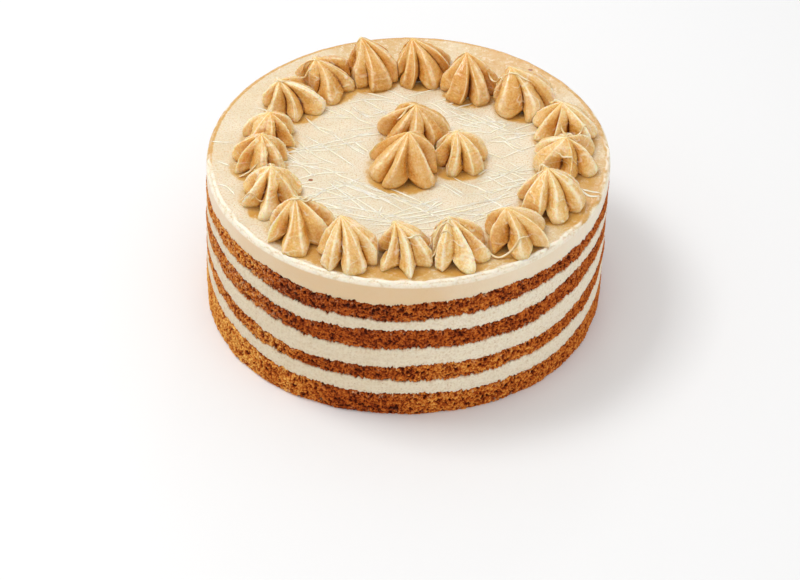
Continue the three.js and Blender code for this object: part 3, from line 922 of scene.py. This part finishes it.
def rosette_tree():
    """A piped star rosette: lobes that are full at the foot and run up to a drawn, bent tip."""
    tree, given = new_tree("Piped rosette", {
        "Foot": "Vector", "Radius": "Float", "Height": "Float", "Bend": "Vector",
        "Lobes": "Int", "Turn": "Float", "Twist": "Float", "Groove depth": "Float",
        "Overhang": "Float", "Drizzle": "Float", "Brown and shade": "Float", "Plump": "Float",
        **dict.fromkeys(FLATS, "Vector"), "Seed": "Int", "Material": "Material"})
    segments = given["Lobes"] * float(SEGMENTS_TO_A_LOBE)
    ball = add_node(tree, "GeometryNodeMeshUVSphere",
                    {"Segments": segments, "Rings": ROSETTE_RINGS, "Radius": 1.0})
    x, y, z = add_node(tree, "GeometryNodeInputPosition").axes()
    down = z.calc("MAXIMUM", -1.0).calc("MINIMUM", 1.0).calc("ARCCOSINE") / math.pi
    up = (1.0 - down / SIDE_SHARE).calc("MAXIMUM", 0.0)
    under = ((down - SIDE_SHARE) / (1 - SIDE_SHARE)).calc("MAXIMUM", 0.0)
    azimuth = y.calc("ARCTAN2", x)
    turns = azimuth * given["Lobes"] / (2 * math.pi)
    lobe = (turns + 0.5).calc("FLOOR")
    lobe_number = lobe.calc("FLOORED_MODULO", given["Lobes"])
    groove_number = turns.calc("FLOOR").calc("FLOORED_MODULO", given["Lobes"])

    def drawn(low, high, number, salt):
        values = {"Min": low, "Max": high, "ID": number, "Seed": given["Seed"] * 10.0 + salt}
        return add_node(tree, "FunctionNodeRandomValue", values, data_type="FLOAT")

    # The section: lobes with grooves between them
    lean = drawn(-0.2, 0.25, lobe_number, 4.0) * eased(up, 0.0, 0.4)
    aside = (turns - lobe) * 2.0 - lean
    side = aside.calc("SIGN")
    across = aside / (side - lean)
    flat_top = drawn(-0.4, 0.5, lobe_number, 11.0).calc("MAXIMUM", 0.0)
    beside_top = ((across - flat_top) / (1.0 - flat_top)).calc("MAXIMUM", 0.0)
    roundness = drawn(0.04, 0.8, lobe_number, 6.0) * eased(up, 0.45, 0.0, 0.03, 0.25)
    corner = (roundness * roundness + 1.0) ** 0.5 - roundness
    slope = ((beside_top * beside_top + roundness * roundness) ** 0.5 - roundness) / corner
    valley = slope ** (eased(up, 0.5, 0.0, 0.75, 1.1) * given["Plump"])
    depth = given["Groove depth"] * drawn(0.45, 1.15, groove_number, 2.0)
    fading = drawn(0.55, 1.1, groove_number, 3.0)
    depth = depth * eased(up - fading, -0.25, 0.15, 1.0, 0.25) * eased(up, 0.0, 0.35, 0.62, 1.0)
    lobe_way = lobe * (2 * math.pi) / given["Lobes"] + given["Turn"]
    to_front = (lobe_way.calc("SINE") * -1.0).calc("MAXIMUM", 0.0)
    crest = drawn(0.95, 1.16, lobe_number, 1.0)
    crest = crest + to_front * drawn(0.0, 0.16, lobe_number, 7.0) * eased(up, 0.4, 0.0)
    shoulder = 1.0 - up ** drawn(1.5, 2.9, lobe_number, 8.0)
    outline = crest * (1.0 - valley) * shoulder + (1.0 - depth) * valley * (1.0 - up ** 2.1)
    tuck = 1.0 - (1.0 - up / 0.2).calc("MAXIMUM", 0.0) ** 2.0 * eased(valley, 0.0, 0.7, 0.06, 0.2)

    # The twist and the bent tip
    sway_place = vector(tree, azimuth.calc("COSINE"), azimuth.calc("SINE"), up * 0.5)
    sway = noise(moved(sway_place, given["Seed"] * 3.1), 0.8, 1.0) * 0.3
    direction = azimuth + given["Turn"] + given["Twist"] * up + sway
    cosine = direction.calc("COSINE")
    sine = direction.calc("SINE")
    bend_x, bend_y, _ = given["Bend"].axes()
    bend = up ** BEND_POWER
    axis_x = bend_x * bend
    axis_y = bend_y * bend

    # Lumps, stripes from the nozzle, and strands and beads of syrup
    rise = given["Height"] * up
    radius = given["Radius"] * outline * tuck
    seed_shift = given["Seed"] * 1.7
    ball_place = moved(vector(tree, x, y, z), seed_shift, seed_shift, seed_shift)
    lumps = noise(ball_place, 0.8, 2.0) * (0.6 * MM) + noise(ball_place, 0.12, 3.0) * (0.36 * MM)
    along = vector(tree, turns * 9.0, up * 1.3, seed_shift)
    stripe = noise(along, 1.0, 2.0)
    fade = eased(up, 1.0, 0.85)
    grain = noise(ball_place, 0.05, 2.0) * (0.2 * MM)
    radius = radius + (lumps + grain + stripe * (0.2 * MM)) * fade
    drizzle_place = vector(tree, radius * cosine, radius * sine, rise * 1.6)
    drizzle_place = moved(drizzle_place, given["Seed"] * 0.1)
    strand = noise(drizzle_place, 12 * MM, 1.0).calc("ABSOLUTE")
    drizzle = eased(strand, 0.075, 0.02) * fade * eased(up, 0.02, 0.12) * given["Drizzle"]
    drizzle = drizzle * eased(noise(drizzle_place, 7 * MM, 1.0), -0.4, 0.2)
    beads = pits(drizzle_place, 1.8 * MM, 0.6, 0.25) * given["Drizzle"]
    beads = beads * eased(noise(drizzle_place, 9 * MM, 1.0), 0.1, 0.5) * eased(up, 0.02, 0.12)
    drizzle = drizzle.calc("MAXIMUM", beads * fade)
    radius = radius + drizzle * (0.35 * MM)

    # The flats where neighbours press
    for label in FLATS:
        fx, fy, _ = given[label].axes()
        length = (fx * fx + fy * fy) ** 0.5
        facing = (cosine * fx + sine * fy) / length
        room = length - (axis_x * fx + axis_y * fy) / length
        limit = room / facing.calc("MAXIMUM", 0.05)
        radius = radius.calc("SMOOTH_MIN", limit, 1.2 * MM)
    radius = radius.calc("MAXIMUM", 0.0) * (1.0 - under)

    # The place of each point, and the values that its colour needs
    overhang = drawn(-0.7, 1.0, groove_number, 5.0).calc("MAXIMUM", 0.0) * given["Overhang"]
    foot_lift = overhang * valley * eased(up, 0.3, 0.0) * (1.0 - under)
    place = vector(tree, axis_x + radius * cosine, axis_y + radius * sine, rise + foot_lift)
    place = vector_calc("ADD", place, given["Foot"])
    # Painted shade over each lobe's tone: golden valleys, dark caves at the foot, crevices,
    # underside
    low = eased(up, 0.12, 0.0)
    gold = drawn(0.04, 0.18, lobe_number, 9.0) + (valley ** 0.75) * (0.08 + depth * 0.85)
    gold = gold + given["Brown and shade"] + eased(across - flat_top, 0.0, -0.1) * flat_top * 0.4
    gold = gold + low * eased(valley, 0.3, 0.9, 0.1, 0.6)
    crevice = eased(across, 0.86, 0.97) * eased(up, 0.95, 0.7) * depth
    gold = gold + crevice * drawn(0.0, 1.4, groove_number, 10.0)
    gold = gold + eased(under, 0.0, 0.1) * 0.5
    # Painted highlight along the edges of the lobes' tops
    crest_highlight = eased((across - flat_top).calc("ABSOLUTE"), 0.15, 0.02) * eased(up, 0.05, 0.25)
    crest_highlight = crest_highlight * (1.0 - given["Brown and shade"] * 1.5)
    looks = {"groove": gold, "crest": crest_highlight, "brown": given["Brown and shade"] * fade,
             "stripe": stripe * fade, "drizzle": drizzle}
    for label, value in looks.items():
        ball = stored(ball, label, value)
    shaped = add_node(tree, "GeometryNodeSetPosition", {"Geometry": ball, "Position": place})
    finish_tree(shaped, given["Material"])
    return tree


def make_rosettes(tree, material, forms):
    pieces = []
    for number, node in enumerate(ROSETTES):
        form = forms[node]
        foot = form["centre"] - np.array([0, 0, FOOT_SINK])
        flats = pressing_planes(form, forms.values())
        bend = form["tip"] - form["centre"]
        syrup, brown, plump = ROSETTE_FINISH.get(node, (1.0, 0.0, 1.0))
        settings = {
            "Foot": tuple(foot), "Radius": form["radius"],
            "Height": form["tip"][2] - foot[2], "Bend": (bend[0], bend[1], 0.0),
            "Lobes": form["lobes"], "Turn": form["turn"], "Twist": ROSETTE_TWIST,
            "Groove depth": GROOVE_DEPTH, "Overhang": OVERHANG, "Drizzle": syrup, "Brown and shade": brown,
            "Plump": plump, "Seed": number + 1, "Material": material}
        settings.update((label, tuple(flat)) for label, flat in zip(FLATS, flats))
        piece = grow("piped_" + node, tree, settings)
        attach(piece, "root")
        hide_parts(node)
        pieces.append(piece)
    return pieces


# Syrup

def evened(value, steps):
    """A value smoothed along its thread."""
    values = {"Value": value, "Iterations": steps}
    return add_node(value.tree, "GeometryNodeBlurAttribute", values)


def thread_tree():
    """Lays threads on whatever is below them and gives them their round, flattened section."""
    tree, given = new_tree("Syrup threads", {
        "Threads": "Geometry", "Landing": "Object", "Width": "Float", "Thickness": "Float",
        "Span": "Int", "Material": "Material"})
    curve = add_node(tree, "GeometryNodeMeshToCurve", {"Mesh": given["Threads"]})
    curve = add_node(tree, "GeometryNodeCurveSplineType", {"Curve": curve},
                     spline_type="CATMULL_ROM")
    curve = add_node(tree, "GeometryNodeResampleCurve", {"Curve": curve, "Length": THREAD_STEP},
                     mode="LENGTH")
    position = add_node(tree, "GeometryNodeInputPosition")
    strayed = wobbled(position, 16 * MM, 1.2 * MM)
    curve = add_node(tree, "GeometryNodeSetPosition", {"Geometry": curve, "Position": strayed})
    x, y, _ = position.axes()
    landing = add_node(tree, "GeometryNodeObjectInfo", {"Object": given["Landing"]})
    hit = add_node(tree, "GeometryNodeRaycast", {
        "Target Geometry": landing.beside("Geometry"),
        "Source Position": vector(tree, x, y, THREAD_TOP),
        "Ray Direction": (0.0, 0.0, -1.0), "Ray Length": THREAD_TOP})
    _, _, ground = hit.beside("Hit Position").axes()
    curve = stored(curve, "ground", ground)
    ground = attribute(tree, "ground")
    hung = ground.calc("MAXIMUM", evened(ground, given["Span"]))
    laid = ground.calc("MAXIMUM", evened(hung, 8))
    curve = add_node(tree, "GeometryNodeSetPosition",
                     {"Geometry": curve, "Position": vector(tree, x, y, laid)})
    curve = add_node(tree, "GeometryNodeSetCurveNormal", {"Curve": curve}, mode="Z_UP")
    along = add_node(tree, "GeometryNodeSplineParameter")
    taper = eased(along, 0.0, 0.25, 0.1, 1.0) * eased(along, 1.0, 0.75, 0.1, 1.0)
    swelling = noise(position, 4 * MM, 2.0) * 0.3 + 1.0
    profile = add_node(tree, "GeometryNodeCurvePrimitiveCircle", {"Resolution": 8, "Radius": 0.5})
    section = vector(tree, given["Width"], given["Thickness"], 1.0)
    profile = add_node(tree, "GeometryNodeTransform", {"Geometry": profile, "Scale": section})
    thread = add_node(tree, "GeometryNodeCurveToMesh", {
        "Curve": curve, "Profile Curve": profile, "Scale": taper * swelling, "Fill Caps": True})
    _, _, upright = add_node(tree, "GeometryNodeInputNormal").axes()
    # Painted shade on the threads' sides
    thread = stored(thread, "flank", eased(upright, 0.9, 0.3))
    finish_tree(thread, given["Material"])
    return tree


def joined_copy(name, pieces):
    """One mesh object with copies of the pieces' meshes in it."""
    points, faces, start = [], [], 0
    for piece in pieces:
        mesh = piece.data
        place = np.empty(len(mesh.vertices) * 3)
        mesh.vertices.foreach_get("co", place)
        mesh.calc_loop_triangles()
        corners = np.empty(len(mesh.loop_triangles) * 3, np.int32)
        mesh.loop_triangles.foreach_get("vertices", corners)
        points.append(place.reshape(-1, 3))
        faces.append(corners.reshape(-1, 3) + start)
        start += len(mesh.vertices)
    mesh = bpy.data.meshes.new(name)
    mesh.from_pydata(np.concatenate(points).tolist(), [], np.concatenate(faces).tolist())
    return new_object(name, mesh)


def stray_threads():
    """Fainter threads across the top, drawn at random from the two ways the syrup was swung."""
    draw = np.random.default_rng(STRAY_SEED)
    threads = []
    for swing in STRAY_SWINGS:
        for _ in range(STRAYS_TO_A_SWING):
            reach = draw.uniform(*STRAY_REACH)
            place = draw.uniform(0, 2 * math.pi)
            direction = math.radians(swing + draw.normal() * 9)
            half = draw.uniform(*STRAY_LENGTHS) / 2
            x, y = reach * math.cos(place), reach * math.sin(place)
            step_x, step_y = half * math.cos(direction), half * math.sin(direction)
            sag = draw.normal() * 1.2
            away = [math.hypot(x + step_x * share - STRAYS_CLEAR_OF[0],
                               y + step_y * share - STRAYS_CLEAR_OF[1])
                    for share in (-1, -0.5, 0, 0.5, 1)]
            if min(away) > STRAYS_CLEAR_OF[2]:
                threads.append((x - step_x, y - step_y, x - sag * math.sin(direction), y + sag,
                                x + step_x, y + step_y))
    return threads


def make_threads(name, courses, settings, middle):
    """Threads of syrup along their courses, laid on the piece in settings["Landing"]."""
    points, edges = [], []
    for course in courses:
        for i, (x, y) in enumerate(zip(course[::2], course[1::2])):
            if i:
                edges.append((len(points) - 1, len(points)))
            points.append((middle[0] + x * MM, middle[1] + y * MM, THREAD_TOP))
    base = bpy.data.meshes.new("threads")
    base.from_pydata(points, edges, [])
    piece = grow(name, thread_tree(), settings, base)
    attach(piece, "root")


def make_syrup(top, rosettes):
    middle = LayerSide(TOP).axis[-1]
    pale = syrup_material("syrup glaze", (248, 232, 196), (255, 247, 224))
    golden = syrup_material("syrup drips", (236, 208, 154), (252, 238, 208))
    flat = {"Landing": top, "Width": 1.25 * MM, "Thickness": 0.4 * MM, "Span": 4,
            "Material": pale}
    make_threads("syrup_threads", THREADS + stray_threads(), flat, middle)
    landing = joined_copy("landing", [top] + rosettes)
    hung = {"Landing": landing, "Width": 1.2 * MM, "Thickness": 1.0 * MM, "Span": 90,
            "Material": golden}
    make_threads("syrup_drips", DRIPS, hung, middle)
    bpy.data.objects.remove(landing)


# Surroundings

def make_camera():
    data = bpy.data.cameras.new("camera")
    data.lens = CAMERA_LENS
    data.sensor_width = 36.0
    camera = new_object("camera", data)
    camera.location = CAMERA_PLACE
    gaze = Vector(CAMERA_TARGET) - Vector(CAMERA_PLACE)
    camera.rotation_euler = gaze.to_track_quat("-Z", "Y").to_euler()
    bpy.context.scene.camera = camera


def make_light(name, place, size, power):
    data = bpy.data.lights.new(name, "AREA")
    data.size = size
    data.energy = power
    light = new_object(name, data)
    light.location = place
    gaze = Vector(LIGHT_TARGET) - Vector(place)
    light.rotation_euler = gaze.to_track_quat("-Z", "Y").to_euler()


def make_floor():
    mesh = bpy.data.meshes.new("floor")
    corners = [(-3, -3, 0), (3, -3, 0), (3, 3, 0), (-3, 3, 0)]
    mesh.from_pydata(corners, [], [(0, 1, 2, 3)])
    material, shader, _ = new_material("pale floor", **{"Roughness": 0.7})
    shader.inputs["Base Color"].default_value = (0.86, 0.86, 0.86, 1.0)
    mesh.materials.append(material)
    floor = new_object("floor", mesh)


def make_surroundings():
    make_camera()
    make_floor()
    make_light("key", (-0.36, 0.1, 0.9), 0.3, 3.6)
    make_light("fill", (0.5, -0.9, 0.45), 0.8, 1.0)
    make_light("glint", (0.1, 1.0, 0.8), 0.2, 0.5)
    world = bpy.data.worlds.new("studio")
    world.use_nodes = True
    background = world.node_tree.nodes["Background"]
    background.inputs["Color"].default_value = (1.0, 1.0, 1.0, 1.0)
    background.inputs["Strength"].default_value = 0.8
    bpy.context.scene.world = world
    bpy.context.scene.view_settings.view_transform = "Standard"


make_surroundings()
forms = {node: rosette_form(node) for node in ROSETTES}
crumb = crumb_tree()
make_layers(crumb, sponge_material(), filling_material())
top = make_top(crumb, top_material(), list(forms.values()))
rosettes = make_rosettes(rosette_tree(), rosette_material(), forms)
make_syrup(top, rosettes)
